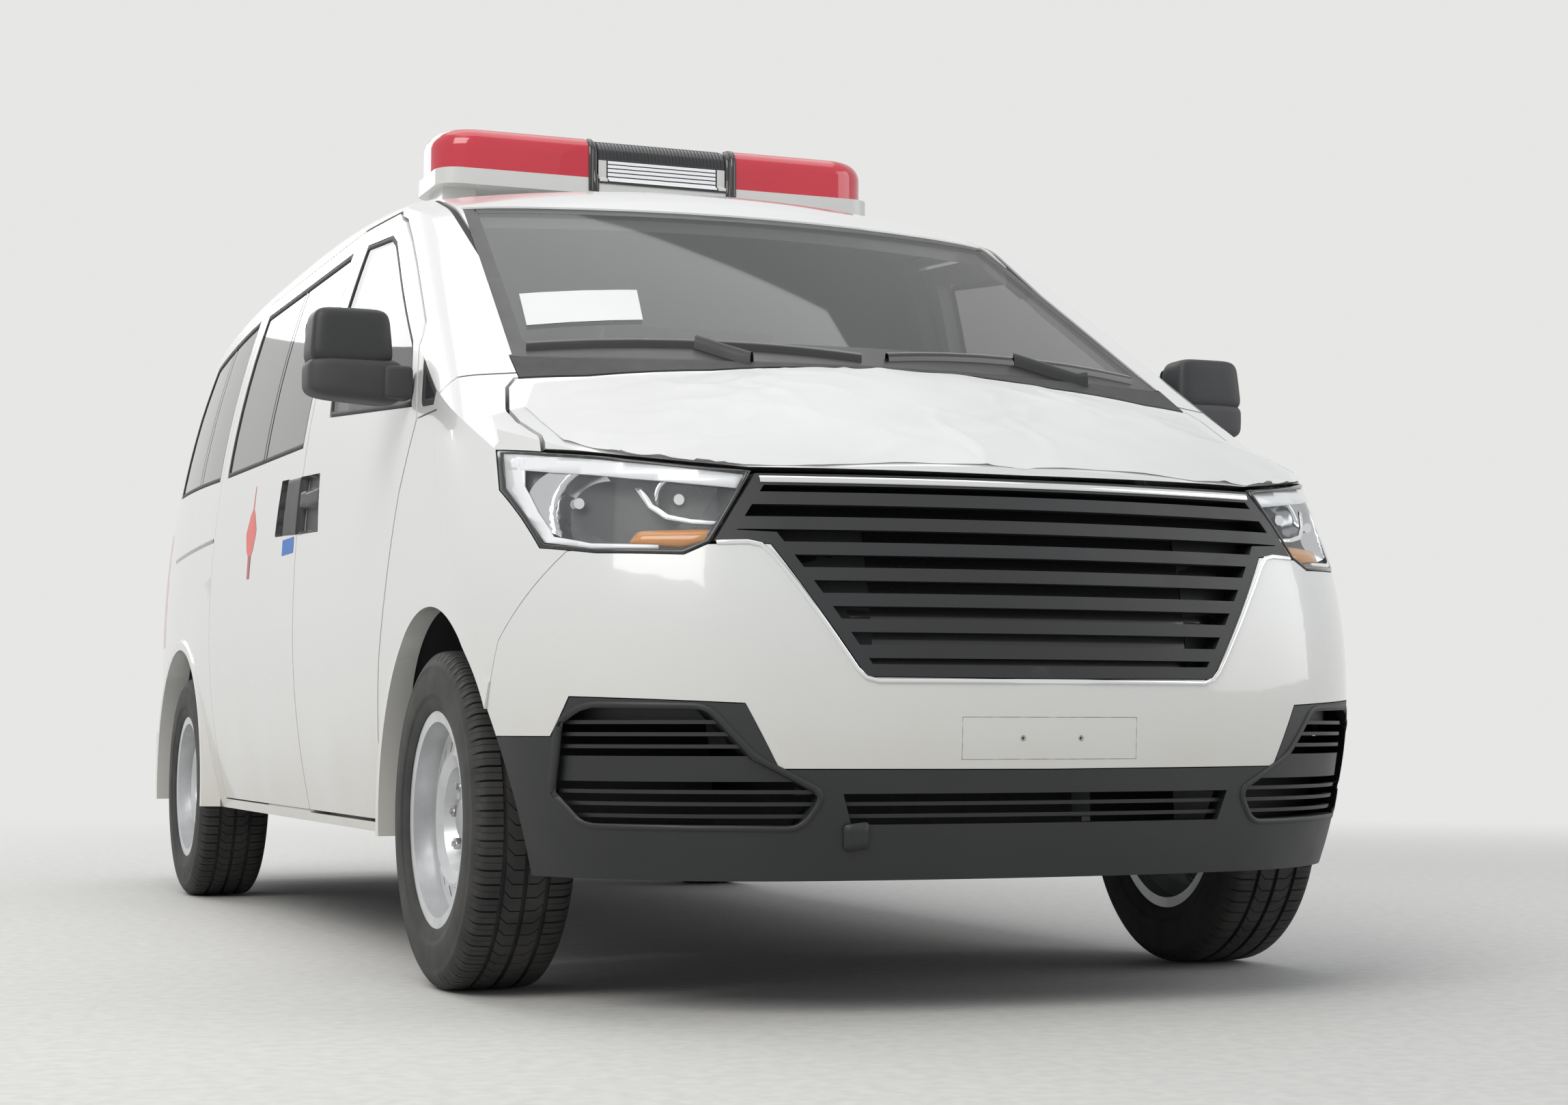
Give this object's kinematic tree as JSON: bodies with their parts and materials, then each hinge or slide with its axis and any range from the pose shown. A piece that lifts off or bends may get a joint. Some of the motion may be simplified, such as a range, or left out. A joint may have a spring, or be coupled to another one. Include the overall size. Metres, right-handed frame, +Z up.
{
  "type": "ambulance van",
  "caption": "White ambulance van with a red and silver light bar, steerable front wheels, hinged front doors, bonnet and tailgate, and a hollow cab and patient room.",
  "frame": {"origin": "on the ground below the middle of the overall box", "axes": "+Z up, the front of the van towards -Y, the driver side (its left) towards +X"},
  "size_m": [2.3, 5.1497, 2.0849],
  "materials": {
    "bar_shell": "gloss",
    "bar_speaker": "brushed",
    "black_metal": "matt",
    "bumper_paint": "gloss",
    "cabin_panel": "satin",
    "cabin_plastic": "matt",
    "cast_metal": "matt",
    "clear_glass": "gloss",
    "dark_plastic": "matt",
    "exhaust_steel": "satin",
    "floor_metal": "matt",
    "frame_paint": "matt",
    "lamp_glass": "gloss",
    "red_lens": "gloss",
    "reflector": "gloss",
    "rim_steel": "satin",
    "rubber": "matt",
    "tinted_glass": "gloss",
    "tyre_rubber": "matt",
    "upholstery": "matt",
    "white_paint": "gloss"
  },
  "bodies": {
    "body": {"bench_and_stretcher": "upholstery", "body_side_left": "white_paint", "body_side_right": "white_paint", "bumper_cladding": "dark_plastic", "cab_seats": "upholstery", "chassis_frame": "frame_paint", "dashboard": "cabin_plastic", "engine_block": "cast_metal", "exhaust": "exhaust_steel", "firewall_and_cowl": "black_metal", "floor_pan": "floor_metal", "front_bumper": "bumper_paint", "front_carrier": "dark_plastic", "front_suspension": "frame_paint", "front_wheel_liners": "dark_plastic", "front_wings": "white_paint", "fuel_tank": "frame_paint", "gearbox_and_propshaft": "cast_metal", "headlamp_housings": "reflector", "headlamp_lenses": "lamp_glass", "hinge_brackets": "frame_paint", "light_bar_base": "bar_shell", "light_bar_lenses": "red_lens", "light_bar_speaker": "bar_speaker", "mud_flaps": "rubber", "partition_and_posts": "cabin_panel", "radiator_grille": "dark_plastic", "rear_axle_and_springs": "frame_paint", "rear_bumper": "bumper_paint", "roof_ditch_strips": "rubber", "roof_panel": "white_paint", "side_windows": "tinted_glass", "sliding_doors": "white_paint", "tail_lamps": "red_lens", "windscreen": "clear_glass"},
    "wheel_front_left": {"rim_front_left": "rim_steel", "tyre_front_left": "tyre_rubber"},
    "wheel_front_right": {"rim_front_right": "rim_steel", "tyre_front_right": "tyre_rubber"},
    "wheel_rear_left": {"rim_rear_left": "rim_steel", "tyre_rear_left": "tyre_rubber"},
    "wheel_rear_right": {"rim_rear_right": "rim_steel", "tyre_rear_right": "tyre_rubber"},
    "steering_left": {"knuckle_left": "cast_metal"},
    "steering_right": {"knuckle_right": "cast_metal"},
    "door_left": {"front_door_left": "white_paint", "door_glass_left": "clear_glass", "door_mirror_left": "dark_plastic"},
    "door_right": {"front_door_right": "white_paint", "door_glass_right": "clear_glass", "door_mirror_right": "dark_plastic"},
    "bonnet_lid": {"bonnet": "white_paint"},
    "tailgate_lid": {"tailgate": "white_paint", "tailgate_glass": "tinted_glass"},
    "hand_wheel": {"steering_wheel": "cabin_plastic"}
  },
  "joints": [
    {"name": "steer_left", "type": "hinge", "parent": "body", "child": "steering_left", "pos_m": [0.752, -1.69, 0.342], "axis": [0, 0, 1], "range_deg": [-35, 35]},
    {"name": "steer_right", "type": "hinge", "parent": "body", "child": "steering_right", "pos_m": [-0.752, -1.69, 0.342], "axis": [0, 0, 1], "range_deg": [-35, 35]},
    {"name": "hand_wheel_turn", "type": "hinge", "parent": "body", "child": "hand_wheel", "pos_m": [0.43, -1.13, 1.12], "axis": [0, 0.788, 0.6157], "range_deg": [-525, 525]},
    {"name": "wheel_front_left_spin", "type": "hinge", "parent": "steering_left", "child": "wheel_front_left", "pos_m": [0.842, -1.69, 0.342], "axis": [1, 0, 0], "continuous": true},
    {"name": "wheel_front_right_spin", "type": "hinge", "parent": "steering_right", "child": "wheel_front_right", "pos_m": [-0.842, -1.69, 0.342], "axis": [1, 0, 0], "continuous": true},
    {"name": "wheel_rear_left_spin", "type": "hinge", "parent": "body", "child": "wheel_rear_left", "pos_m": [0.83, 1.51, 0.342], "axis": [1, 0, 0], "continuous": true},
    {"name": "wheel_rear_right_spin", "type": "hinge", "parent": "body", "child": "wheel_rear_right", "pos_m": [-0.83, 1.51, 0.342], "axis": [1, 0, 0], "continuous": true},
    {"name": "door_left_hinge", "type": "hinge", "parent": "body", "child": "door_left", "pos_m": [0.94, -1.44, 0.8], "axis": [0, 0, -1], "range_deg": [0, 65]},
    {"name": "door_right_hinge", "type": "hinge", "parent": "body", "child": "door_right", "pos_m": [-0.94, -1.44, 0.8], "axis": [0, 0, 1], "range_deg": [0, 65]},
    {"name": "bonnet_hinge", "type": "hinge", "parent": "body", "child": "bonnet_lid", "pos_m": [0, -1.738, 1.275], "axis": [-1, 0, 0], "range_deg": [0, 55]},
    {"name": "tailgate_hinge", "type": "hinge", "parent": "body", "child": "tailgate_lid", "pos_m": [0, 2.112, 1.868], "axis": [1, 0, 0], "range_deg": [0, 80]}
  ],
  "couplings": [
    {"joint": "steer_right", "follows": "steer_left", "ratio": 1},
    {"joint": "hand_wheel_turn", "follows": "steer_left", "ratio": 15}
  ]
}
